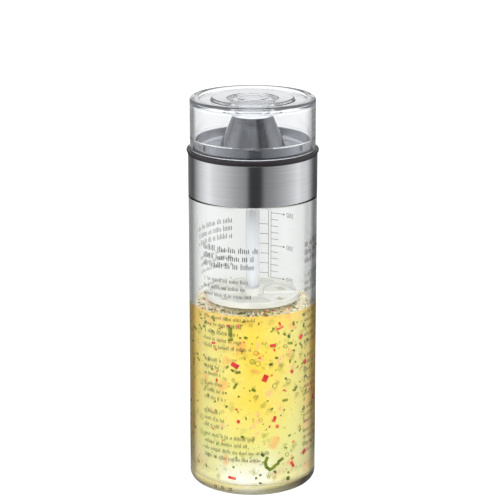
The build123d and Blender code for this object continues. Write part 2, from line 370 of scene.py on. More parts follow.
# Painted light: a glow on the cap's upper rim, though no lamp is there.
RIM_PAINTED_GLOW = (0.12, 0.128, 0.14, 1.0)
RIM_LEVELS = (4.6, 3.6)
RIM_WALL = (0.0305, 0.0316)


def heel_tint(finish, tint, radius, around, z):
    """Paints shade into the tint at the edge of the heel, most of all at its right."""
    left, right = [around.between(*rise) * around.between(*fall) for rise, fall in (LEFT_ARC, RIGHT_ARC)]
    side = finish.blend(right, finish.blend(left, HEEL_SHADE_FRONT, HEEL_SHADE_LEFT), HEEL_SHADE_RIGHT)
    edge = (z - right * HEEL_LIFT).between(*HEEL_EDGE) * radius.between(*HEEL_START)
    return finish.blend(edge, tint, side)


def clear_finish(name, tint, ior, roughness, ripple, heel=False, rim=None):
    """A clear solid with faint ripples in its surface, painted shade at a slant, painted shade on a heel and
    a painted glow on a rim.
    """
    finish = Finish(name)
    x, y, z = finish.axes()
    radius = distance(x, y)
    slant = finish.node("LayerWeight", {"Blend": 0.5}, "Facing")
    # Painted shade on the outer wall where it is seen at a slant.
    tint = finish.blend(slant.between(*EDGE_FACING) * radius.between(*OUTER_WALL), tint, EDGE_PAINTED_SHADE)
    if heel:
        tint = heel_tint(finish, tint, radius, angle_round(x, y), z)
    glow = grey(0)
    if rim:
        # A painted glow on the cap's upper rim.
        glow = finish.blend(z.between(*rim) * radius.between(*RIM_WALL), glow, RIM_PAINTED_GLOW)
    glass = finish.surface({
        "Base Color": tint,
        "Transmission Weight": 1.0,
        "IOR": ior,
        "Roughness": finish.clouds(160, 2.0) * roughness,
        "Emission Color": glow,
        "Emission Strength": 1.0,
        "Normal": finish.bump(finish.clouds(38, 1.0), ripple),
    })
    passing = finish.node("BsdfTransparent", {"Color": grey(LAMP_TINT)})
    lamp_ray = finish.node("LightPath", {}, "Is Shadow Ray")
    return finish.show(finish.mix(lamp_ray, glass, passing))


jar_glass = clear_finish("jar_glass", (0.94, 0.952, 0.943, 1.0), 1.5, 0.01, 0.02, heel=True)
cap_rim = [(cap_top - level) * MM for level in RIM_LEVELS]
cap_plastic = clear_finish("cap_plastic", (0.982, 0.99, 1.0, 1.0), 1.48, 0.012, 0.01, rim=cap_rim)
print("clear finishes:", jar_glass.name, cap_plastic.name)

# %% [markdown]
# ## Brushed steel
# The steel is brushed round the axis, so its fine scratches run level. They are noise that is stretched
# round the piece and squeezed in height. Anisotropy spreads each reflection across the scratches, which
# gives upright bands.

# %% Brushed steel
SCRATCHES = 9000
ALONG = 55
GRAIN_DARK = 0.86
INSIDE = (0.0291, 0.0295)
# Painted light: a lighter steel colour for the inside of the dish.
DISH_INSIDE_PAINTED_LIGHT = (0.62, 0.635, 0.67, 1.0)


def steel_finish(name, base, roughness, depth, flat=False, spread=0.75, inside=None, speckle=0.0):
    """Steel brushed round the axis. On a flat piece the scratches are rings. Its inside can get a lighter
    colour, as painted light.
    """
    finish = Finish(name)
    x, y, z = finish.axes()
    radius = distance(x, y)
    across = radius + z if flat else z
    scratches = finish.clouds(1.0, 3.0, finish.point(x * ALONG, y * ALONG, across * SCRATCHES))
    broad = finish.clouds(1.0, 2.0, finish.point(x * ALONG / 3, y * ALONG / 3, across * SCRATCHES / 7))
    grain = scratches * 0.65 + broad * 0.35
    colour = finish.blend(grain.between(0.3, 0.7), dimmed(base, GRAIN_DARK), base)
    if inside:
        colour = finish.blend(radius.between(*INSIDE), inside, colour)
    relief = grain * (1 - speckle) + finish.clouds(2600, 2.0) * speckle
    steel = finish.surface({
        "Base Color": colour,
        "Metallic": 1.0,
        "Roughness": grain * 0.12 + finish.clouds(90, 2.0) * 0.05 + roughness,
        "Anisotropic": spread,
        "Anisotropic Rotation": 0.25,
        "Normal": finish.bump(relief, depth),
    })
    return finish.show(steel)


band_steel = steel_finish("band_steel", (0.69, 0.70, 0.72, 1.0), 0.13, 0.004)
# Painted shade and light: the dish's outside has a dark steel colour, and its inside a lighter one.
dish_steel = steel_finish("dish_steel", (0.31, 0.325, 0.355, 1.0), 0.1, 0.004, flat=True, inside=DISH_INSIDE_PAINTED_LIGHT)
cone_steel = steel_finish("cone_steel", (0.31, 0.318, 0.34, 1.0), -0.025, 0.03, spread=0.3, speckle=0.5)
print("steel finishes:", band_steel.name, dish_steel.name, cone_steel.name)

# %% [markdown]
# ## Plastic and rubber
# Moulded pieces aren't perfectly even: a fine grain breaks up their sheen, and soft clouds vary their
# colour. The froth, the ink and the frosted edges are made the same way. The last number of some rows makes
# them partly see-through.

# %% Moulded finishes
def moulded_finish(name, base, shade, roughness, grain_scale, grain_depth, coat=0.0, alpha=1.0):
    """A moulded solid with a fine grain and soft clouds. Its two colours are chart values."""
    finish = Finish(name)
    grain = finish.clouds(grain_scale, 3.0)
    cloud = finish.clouds(70, 2.0)
    body = finish.surface({
        "Base Color": finish.blend(cloud.between(0.3, 0.75), light(*base), light(*shade)),
        "Roughness": cloud * 0.1 + grain * 0.08 + roughness,
        "Coat Weight": coat,
        "Alpha": alpha,
        "Normal": finish.bump(grain, grain_depth),
    })
    return finish.show(body)


MOULDED = (
    ("black_plastic", (40, 36, 39), (28, 25, 28), 0.38, 2500, 0.01),
    ("black_rubber", (46, 41, 45), (33, 29, 32), 0.34, 1800, 0.012),
    ("white_plastic", (243, 244, 245), (232, 234, 238), 0.3, 1500, 0.006),
    ("soft_grey", (226, 227, 226), (214, 216, 215), 0.55, 1800, 0.01),
    ("disc_plastic", (228, 228, 223), (214, 214, 208), 0.3, 1500, 0.006),
    ("frosted_plastic", (240, 243, 247), (232, 236, 242), 0.4, 900, 0.004),
    ("rod_plastic", (246, 248, 252), (236, 240, 248), 0.3, 900, 0.004, 0, 0.36),
    ("stopper_rubber", (236, 240, 245), (226, 231, 238), 0.35, 900, 0.004, 0, 0.22),
    ("mark_edge", (104, 88, 60), (122, 106, 78), 0.3, 900, 0.01),
    ("froth", (246, 243, 226), (226, 214, 176), 0.12, 600, 0.05, 0.5),
    ("grey_ink", (46, 44, 38), (62, 58, 50), 0.5, 3000, 0.002, 0, 0.94),
)
moulded = {values[0]: moulded_finish(*values) for values in MOULDED}
print("moulded finishes:", ", ".join(moulded))

# %% [markdown]
# ## The glass jar
# The jar is blown in a mould: a thick floor with a raised middle, straight walls, a soft shoulder and a
# narrower neck. One outline runs from the middle of the underside round the outside, over the rim and down
# the inside.

# %% Turn the jar
GLASS_WALL = 3.0
FOOT_ROUND = 3.6
FOOT_LAND = 3.4
FOOT_RISE = 3.0
FLOOR = 3.6
FLOOR_ROUND = 4.5
FLOOR_START = 0.3
STEP_GAP = 0.3
STEP_INSET = 1.0
STEP_ROUND = 0.8
SHOULDER = 157.6
SHOULDER_ROUND = 1.8
SHOULDER_SLOPE = 4.0
MOUTH_RADIUS = 25.6
RIM_ROUND = 1.3

cavity_radius = jar_radius - GLASS_WALL
neck_radius = MOUTH_RADIUS + GLASS_WALL
land_outer = jar_radius - FOOT_ROUND
land_inner = land_outer - FOOT_LAND

underside = dome(land_inner, foot, FOOT_RISE)[::-1]
jar_outline = underside + [
    (land_inner, foot),
    (jar_radius, foot, FOOT_ROUND),
    (jar_radius, band_bottom - STEP_GAP, STEP_ROUND),
    (jar_radius - STEP_INSET, band_bottom - STEP_GAP),
    (jar_radius - STEP_INSET, SHOULDER, SHOULDER_ROUND),
    (neck_radius, SHOULDER),
    (neck_radius, rim, RIM_ROUND),
    (MOUTH_RADIUS, rim, RIM_ROUND),
    (MOUTH_RADIUS, SHOULDER, SHOULDER_ROUND),
    (cavity_radius, SHOULDER - SHOULDER_SLOPE, SHOULDER_ROUND),
    (cavity_radius, FLOOR, FLOOR_ROUND),
]
jar_outline += dome(cavity_radius, FLOOR, FOOT_RISE, FLOOR_START)
place("jar_glass_body", turned(jar_outline, closed=False), jar_glass, "bottle", ["glass_jar"])

# %% [markdown]
# The neck's thread is one ridge. Its section is spun while the spin also lifts it, which makes a helix.

# %% Spin the thread
THREAD_PITCH = 4.5
THREAD_TURNS = 1.3
THREAD_DEPTH = 1.4
THREAD_ROOT = 2.0
THREAD_TIP = 0.9
THREAD_START = 4.2
THREAD_STEPS = 96

thread_root, thread_tip = neck_radius - THREAD_DEPTH / 3, neck_radius + THREAD_DEPTH
thread_middle = SHOULDER + THREAD_START
thread_section = (
    (thread_root, thread_middle - THREAD_ROOT / 2),
    (thread_tip, thread_middle - THREAD_TIP / 2),
    (thread_tip, thread_middle + THREAD_TIP / 2),
    (thread_root, thread_middle + THREAD_ROOT / 2),
)
thread = bmesh.new()
thread_climb = THREAD_PITCH * THREAD_TURNS / THREAD_STEPS
swept(thread, thread_section, 0, TURN * THREAD_TURNS, THREAD_STEPS, thread_climb)
place("neck_thread", thread, jar_glass, "bottle")

# %% [markdown]
# Three small square marks stand on the heel of the jar, left by the mould.

# %% Mould marks on the heel
MARK_ANGLES = (-35.5, -28.0, -20.5)
MARK_SIDE = 1.7
MARK_HOLE = 0.5
MARK_HEIGHT = 3.5
MARK_PROUD = 0.06


def about_axis(angle, radius, height):
    """Carries a shape from the origin, facing -Y, to a round wall. The angle goes from -Y to +X."""
    return Matrix.Rotation(math.radians(angle), 4, "Z") @ Matrix.Translation((0, -radius * MM, height * MM))


def points_of(geometry):
    """The points among what an operator made."""
    return [item for item in geometry if isinstance(item, bmesh.types.BMVert)]


def flat_ring(bm, sides, radius, share):
    """The points and faces of a flat ring in XY. Its hole has this share of its width."""
    outer = bmesh.ops.create_circle(bm, segments=sides, radius=radius * MM)["verts"]
    edges = list(dict.fromkeys(edge for vert in outer for edge in vert.link_edges))
    grown = bmesh.ops.extrude_edge_only(bm, edges=edges)["geom"]
    inner = points_of(grown)
    bmesh.ops.scale(bm, vec=(share, share, 1), verts=inner)
    return outer + inner, [item for item in grown if isinstance(item, bmesh.types.BMFace)]


heel_slope = math.asin((FOOT_ROUND - MARK_HEIGHT) / FOOT_ROUND)
heel_radius = land_outer + FOOT_ROUND * math.cos(heel_slope)
upright = Matrix.Rotation(heel_slope + TURN / 4, 4, "X") @ Matrix.Rotation(TURN / 8, 4, "Z")
marks = bmesh.new()
for angle in MARK_ANGLES:
    square, faces = flat_ring(marks, 4, MARK_SIDE / 2 ** 0.5, MARK_HOLE)
    place_it = about_axis(angle, heel_radius + MARK_PROUD, MARK_HEIGHT) @ upright
    bmesh.ops.transform(marks, matrix=place_it, verts=square)
place("heel_marks", marks, moulded["mark_edge"], "bottle")

# %% [markdown]
# ## The dressing
# The dressing is a cloudy yellow emulsion. In a real jar it wets the glass, so light bends only once, at
# the outside of the jar, and the dressing seems to fill the whole width. Its mesh therefore starts a hair
# inside the glass. Soft blots in its finish are the herbs and peppers that float deeper in. A broad pattern
# moves it from egg yellow to a paler green, and its four lobes round the jar are painted light. Its sides
# get painted shade in tan, its foot gets painted light at the front, where light would come up through the
# thick floor, and the whole dressing has a faint painted glow, stronger near its underside.

# %% Blots in the dressing
def spots(finish, scale, size, seed):
    """Soft round blots, as a mask from 0 to 1 and a random number for each blot."""
    x, y, z = finish.axes()
    drift = finish.clouds(scale * 1.3, 2.0) / scale
    where = finish.point(x + drift + seed, y + seed * 0.7, z * 0.9 + drift + seed * 1.3)
    sockets = {"Vector": where, "Scale": scale}
    away, chance = [finish.node("TexVoronoi", sockets, output) for output in ("Distance", "Color")]
    ragged = away + finish.clouds(scale * 3, 2.0) * 0.25 - 0.12
    return ragged.between(size, size * 0.35), finish.node("SeparateColor", {"Color": chance})


BLOTS = (
    (150, 0.34, 0.0, 0.45, light(168, 168, 52), 0.55),
    (120, 0.4, 1.7, 0.62, light(243, 166, 96), 0.6),
    (210, 0.36, 3.1, 0.5, light(142, 150, 44), 0.6),
    (170, 0.38, 5.3, 0.7, light(246, 190, 150), 0.7),
    (480, 0.3, 7.9, 0.55, light(128, 130, 40), 0.7),
)
print("sorts of blots:", len(BLOTS))

# %% [markdown]
# The finish is laid in turns: the broad pattern with its painted light, the layers near the foot with painted
# light at their front, the painted shade of the sides, the surface with its froth, fine flecks, the blots,
# and then a painted glow.

# %% Finish of the dressing
FULL_HEIGHT = 0.096
EGG, PALE = light(243, 216, 84), light(231, 225, 136)
LOW_LAYERS = (((-0.42, -0.1), light(230, 231, 150)), ((-0.2, -0.04), light(231, 227, 164)))
# Painted light at the front of the foot.
FOOT_PAINTED_LIGHT = light(251, 252, 244)
UPPER_LAYER = light(238, 200, 92)
# Painted shade on the left and right sides.
FLANK_PAINTED_SHADE = light(206, 160, 84)
FLANK = 0.5
SURFACE_COLOURS = (light(222, 211, 172), light(242, 236, 212))
SURFACE_EDGE = (0.0298, 0.0294)
FLECK = light(255, 246, 190)
# Painted light: the dressing glows faintly, more near its underside, though it is no lamp.
DRESSING_PAINTED_GLOW = 0.05
UNDER_PAINTED_GLOW = dimmed(light(247, 238, 186), 0.42)
UNDER_LEVELS = (0.0115, 0.0065)


def dressing_finish():
    finish = Finish("vinaigrette")
    x, y, z = finish.axes()
    height = z / FULL_HEIGHT
    around = angle_round(x, y)
    cloud = finish.clouds(45, 3.0)
    fine = finish.clouds(400, 3.0)
    # Painted light: four lobes round the jar make it paler at the slants, and clouds vary it at random.
    painted_light_lobes = (around * 4).cosine() * 0.5 + 0.5
    colour = finish.blend((painted_light_lobes * 0.55 + cloud * 0.9 - 0.3).between(0.0, 0.75), PALE, EGG)
    depth = height * -1 + cloud * 0.2
    for levels, tint in LOW_LAYERS:
        colour = finish.blend(depth.between(*levels), colour, tint)
    # Painted light at the front of the foot, where light would come up through the floor.
    facing = (around + 0.1).cosine().between(0.84, 0.99)
    colour = finish.blend(depth.between(-0.14, 0.0) * facing, colour, FOOT_PAINTED_LIGHT)
    colour = finish.blend((height + cloud * 0.1).between(0.97, 1.08), colour, UPPER_LAYER)
    # Painted shade in tan on the sides.
    flank = (around * 2).cosine().between(-0.28, -0.85)
    colour = finish.blend(flank * FLANK, colour, FLANK_PAINTED_SHADE)
    top = height.between(1.0, 1.003) * distance(x, y).between(*SURFACE_EDGE)
    colour = finish.blend(top, colour, finish.blend(fine.between(0.35, 0.65), *SURFACE_COLOURS))
    colour = finish.blend(fine.between(0.55, 0.8) * 0.35, colour, FLECK)
    for scale, size, seed, rarity, tint, strength in BLOTS:
        mask, chance = spots(finish, scale, size, seed)
        colour = finish.blend(mask * chance.between(rarity, rarity + 0.05) * strength, colour, tint)
    # A painted glow, stronger near the underside.
    glow = finish.blend(z.between(*UNDER_LEVELS), finish.blend(DRESSING_PAINTED_GLOW, grey(0), colour), UNDER_PAINTED_GLOW)
    body = finish.surface({
        "Base Color": colour,
        "Roughness": fine * 0.1 + 0.28,
        "Emission Color": glow,
        "Emission Strength": 1.0,
        "Normal": finish.bump(cloud, 0.05),
    })
    return finish.show(body)


dressing_look = dressing_finish()
print("dressing finish has", len(dressing_look.node_tree.nodes), "nodes")

# %% [markdown]
# The surface of the dressing creeps up the glass by surface tension and is lumpy with herbs and froth, so
# its top rings are moved by noise.

# %% Shape of the dressing
WETTING = 0.12
CREEP = 0.9
CREEP_WIDTH = 2.2
TOP_RINGS = 14
LUMPS = 0.35

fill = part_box("dressing")[1].z / MM
wet_radius = cavity_radius + WETTING
top_points = [(wet_radius * i / TOP_RINGS, fill) for i in range(TOP_RINGS - 1)]
liquid_outline = top_points + [
    (wet_radius - CREEP_WIDTH, fill),
    (wet_radius - CREEP_WIDTH * 0.4, fill + CREEP * 0.35),
    (wet_radius, fill + CREEP),
    (wet_radius, FLOOR - WETTING, FLOOR_ROUND),
]
liquid_outline += dome(cavity_radius, FLOOR - WETTING, FOOT_RISE, FLOOR_START)
liquid = turned(liquid_outline, closed=False)
for vert in liquid.verts:
    flat = Vector((vert.co.x, vert.co.y))
    if vert.co.z > (fill - 0.1) * MM and flat.length < (wet_radius - 0.3) * MM:
        vert.co.z += (noise.noise(vert.co * 260) + noise.noise(vert.co * 700) * 0.5) * LUMPS * MM
place("vinaigrette_body", liquid, dressing_look, "bottle", ["dressing"])

# %% [markdown]
# ## Herbs and peppers
# Chopped chives, leaf bits and red pepper lie against the glass. The most visible ones are placed by their
# angle round the jar and their height, and several hundred small ones are strewn by a seeded random draw.
# Each kind is one mesh, and each bit is a small tapered shape of a few faces.

# %% Shapes of the bits
BIT_DEPTH = 0.32
CHIP_TAPER = 0.42
UNEVEN = (0.7, 1.25)
HOOP_WALL = 0.3
HOOP_SQUEEZE = (0.65, 1.0)
strew = random.Random(11)


def on_wall(bm, verts, angle, height, turn, radius=None):
    """Lays a shape made flat in XY against the inside of the glass."""
    upright = Matrix.Rotation(TURN / 4, 4, "X") @ Matrix.Rotation(math.radians(turn), 4, "Z")
    bmesh.ops.transform(bm, matrix=about_axis(angle, radius or wet_radius, height) @ upright, verts=verts)


def stub(bm, sides, upper, depth=1.0):
    """The points of a short upright piece, a metre wide below, that is then scaled to its size."""
    made = bmesh.ops.create_cone(bm, cap_ends=True, segments=sides, radius1=0.5, radius2=upper, depth=depth)
    return made["verts"]


def chip(bm, angle, height, width, length, turn, sides=4):
    """A flat tapered chip. Its corners are uneven unless it is a square."""
    verts = stub(bm, sides, CHIP_TAPER)
    bmesh.ops.rotate(bm, matrix=Matrix.Rotation(TURN / 8, 3, "Z"), verts=verts)
    if sides != 4:
        for vert in verts:
            vert.co.x *= strew.uniform(*UNEVEN)
            vert.co.y *= strew.uniform(*UNEVEN)
    side = 2 ** 0.5 if sides == 4 else 1.0
    bmesh.ops.scale(bm, vec=(width * side * MM, length * side * MM, BIT_DEPTH * 2 * MM), verts=verts)
    on_wall(bm, verts, angle, height, turn)


def chive(bm, angle, height, width, length, turn):
    """A cut tube of chive that lies on its side."""
    verts = stub(bm, 10, 0.5)
    bmesh.ops.rotate(bm, matrix=Matrix.Rotation(TURN / 4, 3, "X"), verts=verts)
    bmesh.ops.scale(bm, vec=(width * MM, length * MM, BIT_DEPTH * 2.4 * MM), verts=verts)
    on_wall(bm, verts, angle, height, turn)


def hoop(bm, angle, height, across, turn):
    """A slice of chive seen end on, a thin uneven ring."""
    verts, faces = flat_ring(bm, 14, across / 2, 1 - 2 * HOOP_WALL / across)
    upper = points_of(bmesh.ops.extrude_face_region(bm, geom=faces)["geom"])
    bmesh.ops.translate(bm, vec=(0, 0, BIT_DEPTH * MM), verts=upper)
    bmesh.ops.scale(bm, vec=(1, strew.uniform(*HOOP_SQUEEZE), 1), verts=verts + upper)
    on_wall(bm, verts + upper, angle, height, turn, wet_radius - BIT_DEPTH / 4)


def ready(bm):
    """Turns every face outwards."""
    bmesh.ops.recalc_face_normals(bm, faces=bm.faces)
    return bm


# %% [markdown]
# The bits are moist, and their colour changes from bit to bit.

# %% Finishes of the bits
def leaf_finish(name, first, second, third):
    """Cut herb or pepper. Its three colours are chart values."""
    first, second, third = light(*first), light(*second), light(*third)
    finish = Finish(name)
    patch = finish.clouds(230, 1.0)
    fibre = finish.clouds(2600, 2.0)
    colour = finish.blend(patch.between(0.35, 0.5), first, second)
    colour = finish.blend(patch.between(0.52, 0.66), colour, third)
    colour = finish.blend(fibre.between(0.45, 0.8) * 0.4, colour, second)
    sockets = {"Base Color": colour, "Roughness": fibre * 0.2 + 0.3, "Normal": finish.bump(fibre, 0.05)}
    return finish.show(finish.surface(sockets))


herb_green = leaf_finish("herb_green", (72, 92, 6), (108, 128, 14), (150, 158, 30))
pepper_red = leaf_finish("pepper_red", (198, 26, 48), (222, 58, 52), (238, 118, 92))
chive_pale = leaf_finish("chive_pale", (150, 154, 44), (172, 170, 70), (120, 134, 48))
print("finishes of the bits made")

# %% [markdown]
# A draw of heights that thins out towards the floor gives the strewn look of a shaken dressing.

# %% Strew the bits
SMALL_CHIPS = 290
SMALL_PEPPERS = 74
SMALL_HOOPS = 40
LOWEST = 7.0
CLUSTER = (
    (13.0, 19.5, 25), (12.6, 17.0, -8), (15.0, 14.8, -48), (19.0, 14.6, 60), (23.0, 16.2, 62),
    (27.5, 18.4, 60),
)
CORNER_CHIPS = (
    (-18.3, 15.3, 1.7, 1.7, 10), (3.4, 9.8, 1.6, 1.9, 20), (7.2, 11.4, 1.7, 2.0, 35),
    (7.2, 6.9, 1.0, 2.2, 60), (22.0, 12.3, 2.2, 2.8, 30), (36.0, 7.6, 2.4, 2.9, 20),
    (36.5, 10.6, 1.8, 1.9, 30), (35.8, 85.0, 2.0, 2.6, 15), (31.0, 86.6, 1.8, 1.4, 60),
)
PEPPERS = (
    (-16.9, 70.8, 2.8, 4.4, 62), (11.8, 64.1, 2.9, 4.2, -25), (51.2, 83.0, 2.6, 3.0, -40),
    (57.8, 68.6, 2.6, 2.8, 20), (77.7, 47.3, 3.0, 5.6, -30), (26.3, 90.2, 1.2, 4.2, -72),
    (-20.0, 9.2, 1.6, 4.4, 84), (57.3, 19.0, 2.6, 3.0, -50), (41.1, 14.5, 1.7, 4.0, 30),
)
HOOPS = (
    (-0.4, 73.2, 3.0), (4.9, 72.2, 3.0), (35.9, 60.7, 2.8), (21.2, 59.5, 2.9), (15.2, 9.9, 1.7),
    (34.7, 20.9, 2.5),
)


def strewn_height():
    """More bits high up than near the floor."""
    return LOWEST + (fill - 1.5 - LOWEST) * strew.random() ** 0.6


herbs = bmesh.new()
chive(herbs, -21.4, 88.4, 2.2, 5.0, 0)
for angle, height, turn in CLUSTER:
    chive(herbs, angle, height, 1.7, 3.6, -turn)
for corner_chip in CORNER_CHIPS:
    chip(herbs, *corner_chip, 5)
for i in range(SMALL_CHIPS):
    angle, height, turn = strew.uniform(-180, 180), strewn_height(), strew.uniform(0, 180)
    width = strew.choice((0.5, 0.7, 0.9, 1.1, 1.4))
    if i % 3:
        chip(herbs, angle, height, width, width * strew.uniform(1, 1.9), turn, strew.choice((4, 5, 6)))
    else:
        chive(herbs, angle, height, width, width * strew.uniform(1.2, 2.4), turn)
place("herb_bits", ready(herbs), herb_green, "bottle")

peppers = bmesh.new()
for pepper in PEPPERS:
    chip(peppers, *pepper)
for i in range(SMALL_PEPPERS):
    width = strew.choice((0.6, 0.9, 1.2, 1.7))
    angle, height = strew.uniform(-180, 180), strewn_height()
    length, turn = width * strew.uniform(1.0, 2.2), strew.uniform(0, 180)
    chip(peppers, angle, height, width, length, turn, strew.choice((3, 4, 5)))
place("pepper_bits", ready(peppers), pepper_red, "bottle")

hoops = bmesh.new()
for angle, height, across in HOOPS:
    hoop(hoops, angle, height, across, strew.uniform(0, 180))
for i in range(SMALL_HOOPS):
    hoop(hoops, strew.uniform(-180, 180), strewn_height(), strew.uniform(1.1, 2.6), strew.uniform(0, 180))
place("chive_rings", ready(hoops), chive_pale, "bottle")

# %% [markdown]
# Froth and floating herbs gather on the surface of the dressing, mostly in the ring between the disc and
# the glass.

# %% Froth on the surface
BUBBLES = 260
FLOATERS = 120


def spread_out(inner, edge):
    """A random distance from the axis, from a share of the surface's radius up to near its edge."""
    return (strew.uniform(inner, 1.0) ** 0.5) * (wet_radius - edge)


def afloat(away, rise):
    """Carries a shape to a random side of the surface."""
    spin = Matrix.Rotation(strew.uniform(0, TURN), 4, "Z")
    return spin @ Matrix.Translation((0, away * MM, (fill + rise) * MM))


froth = bmesh.new()
for i in range(BUBBLES):
    away = spread_out(0.3, 1.0)
    size = strew.choice((0.35, 0.5, 0.7, 1.0, 1.4))
    bubble = bmesh.ops.create_icosphere(froth, subdivisions=1, radius=size * MM)["verts"]
    bmesh.ops.scale(froth, vec=(1, 1, 0.5), verts=bubble)
    bmesh.ops.transform(froth, matrix=afloat(away, 0.1), verts=bubble)
place("froth", froth, moulded["froth"], "bottle")

floaters = {"floating_herbs": (herb_green, 3), "floating_peppers": (pepper_red, 1)}
for name, (look, share) in floaters.items():
    bm = bmesh.new()
    for i in range(FLOATERS * share // 4):
        away = spread_out(0.4, 1.2)
        bit = stub(bm, 5, 0.4, 0.5)
        size = Vector((strew.uniform(1, 3), strew.uniform(0.8, 1.6), 0.8)) * MM
        bmesh.ops.scale(bm, vec=size, verts=bit)
        spot = afloat(away, 0.3) @ Matrix.Rotation(strew.uniform(0, TURN), 4, "Z")
        bmesh.ops.transform(bm, matrix=spot, verts=bit)
    place(name, ready(bm), look, "bottle")

# %% [markdown]
# ## The print on the glass
# The jar is printed with grey ink. On the back is a scale in millilitres, which shows through the jar from
# the front, and three columns of plain write-in rules with numerals stand round it. Each mark is drawn flat
# and wrapped round the jar, a hair outside the glass.

# %% Wrap flat marks round the jar
INK_LIFT = 0.02
PRINT_STEP = 1.2
print_radius = jar_radius + INK_LIFT


def wrap(verts, start, level):
    """Bends marks drawn in millimetres in XY round the jar, from a starting angle and a height."""
    for vert in verts:
        angle = math.radians(start) + vert.co.x / print_radius
        x, y = math.sin(angle) * print_radius, -math.cos(angle) * print_radius
        vert.co = Vector((x, y, level + vert.co.y)) * MM


def bar(bm, x, y, width, height, start, level):
    """A printed bar from x, with its lower edge at y."""
    steps = max(1, round(width / PRINT_STEP))
    verts = bmesh.ops.create_grid(bm, x_segments=steps, y_segments=1, size=0.5)["verts"]
    bmesh.ops.scale(bm, vec=(width, height, 1), verts=verts)
    bmesh.ops.translate(bm, vec=(x + width / 2, y + height / 2, 0), verts=verts)
    wrap(verts, start, level)


def numeral(bm, text, size, x, y, start, level, align="LEFT"):
    """A plain number, turned into a mesh before it is wrapped."""
    curve = bpy.data.curves.new("numeral", "FONT")
    curve.body = text
    curve.size = size
    curve.align_x = align
    carrier = bpy.data.objects.new("numeral", curve)
    mesh = bpy.data.meshes.new_from_object(carrier)
    mesh.transform(Matrix.Translation((x, y, 0)))
    wrap(mesh.vertices, start, level)
    bm.from_mesh(mesh)
    bpy.data.objects.remove(carrier)
    bpy.data.curves.remove(curve)
    bpy.data.meshes.remove(mesh)


print("marks are wrapped at", round(print_radius, 2))

# %% [markdown]
# The scale reads from the back of the jar, so seen from the front its numbers are mirrored. Every 10 ml has
# a tick on one side of a double line, and every 50 ml has an arrow and a number.

# %% Print the scale
ML_HEIGHT = 0.356
ML_ZERO = 10.9
SCALE_ANGLE = 162.5
SCALE_LOW = 50
SCALE_HIGH = 350
LINE_GAP = 1.5
LINE_WIDTH = 0.26
TICK = 4.4
LONG_TICK = 7.4
COUNTER_TICKS = (5.3, 6.6)
COUNTER_STEP = 5.38
COUNTER_START = 1.2
ARROW = 1.7
NUMBER_SIZE = 3.7
NUMBER_GAP = 2.4
NUMBER_DROP = 1.25

scale = bmesh.new()
low_level = ML_ZERO + (SCALE_LOW - 8) * ML_HEIGHT
high_level = ML_ZERO + (SCALE_HIGH + 4) * ML_HEIGHT
for side in (-1, 1):
    bar(scale, side * LINE_GAP / 2, 0, LINE_WIDTH, high_level - low_level, SCALE_ANGLE, low_level)
for amount in range(SCALE_LOW, SCALE_HIGH + 1, 10):
    level = ML_ZERO + amount * ML_HEIGHT
    major = amount % 50 == 0
    length = LONG_TICK if major else TICK
    tick_end = -LINE_GAP / 2 - length
    bar(scale, tick_end, 0, length, LINE_WIDTH, SCALE_ANGLE, level)
    if major:
        head = bmesh.ops.create_circle(scale, cap_ends=True, segments=3, radius=ARROW / 2)["verts"]
        bmesh.ops.rotate(scale, matrix=Matrix.Rotation(TURN / 4, 3, "Z"), verts=head)
        bmesh.ops.translate(scale, vec=(tick_end - ARROW / 3, LINE_WIDTH / 2, 0), verts=head)
        wrap(head, SCALE_ANGLE, level)
        spot = (tick_end - NUMBER_GAP, -NUMBER_DROP)
        numeral(scale, str(amount), NUMBER_SIZE, *spot, SCALE_ANGLE, level, "RIGHT")
for count in range(int((high_level - low_level) / COUNTER_STEP)):
    level = low_level + COUNTER_START + count * COUNTER_STEP
    bar(scale, LINE_GAP / 2, 0, COUNTER_TICKS[count % 2], LINE_WIDTH, SCALE_ANGLE, level)
place("printed_scale", scale, moulded["grey_ink"], "bottle")

# %% [markdown]
# Each column has three larger rules at the top and groups of finer ones below. A rule is a row of short
# upright dashes with gaps as between words, from a seeded draw.

# %% Print the write-in columns
COLUMN_STARTS = (-159.0, -48.4, 53.0)
TITLE_LEVELS = (130.5, 126.3, 122.1)
TITLE_WIDTHS = (31.0, 28.4, 28.6)
TITLE_DASH = (0.46, 2.3, 1.0)
GROUPS = ((114.6, 24, 28), (98.6, 22, 30), (86.8, 20, 27), (71.7, 9, 11), (58.8, 11, 14), (43.4, 10, 13))
GROUP_LINES = 3
LAST_GROUP = (30.8, 24, 37)
LAST_LINES = 4
LINE_STEP = 3.85
FINE_DASH = (0.3, 1.6, 0.7)
WORD_LENGTHS = (2, 9)
draw = random.Random(5)


def rule(bm, width, dash, start, level, x=0.0):
    """A row of upright dashes, each a width, a height and a step, broken into words."""
    stroke, height, step = dash
    left = draw.randint(*WORD_LENGTHS)
    while x < width:
        bar(bm, x, 0, stroke, height * draw.choice((0.8, 1.0, 1.0, 1.3)), start, level)
        left -= 1
        x += step if left else step * 2.2
        left = left or draw.randint(*WORD_LENGTHS)


columns = bmesh.new()
for start in COLUMN_STARTS:
    for level, width in zip(TITLE_LEVELS, TITLE_WIDTHS):
        rule(columns, width, TITLE_DASH, start, level)
    for group, (top, narrow, wide) in enumerate(GROUPS):
        numeral(columns, str(group + 1), 2.9, 0, -0.3, start, top)
        for line in range(GROUP_LINES):
            indent = 0.0 if line else 2.8
            rule(columns, draw.uniform(narrow, wide), FINE_DASH, start, top - line * LINE_STEP, indent)
    top, narrow, wide = LAST_GROUP
    for line in range(LAST_LINES):
        rule(columns, draw.uniform(narrow, wide), FINE_DASH, start, top - line * LINE_STEP)
place("printed_columns", columns, moulded["grey_ink"], "bottle")

# %% [markdown]
# ## The closure
# The steel band is a thin sleeve with rolled edges. Above it lie the collar's black lip and the black soft
# bead that the cap stands on.

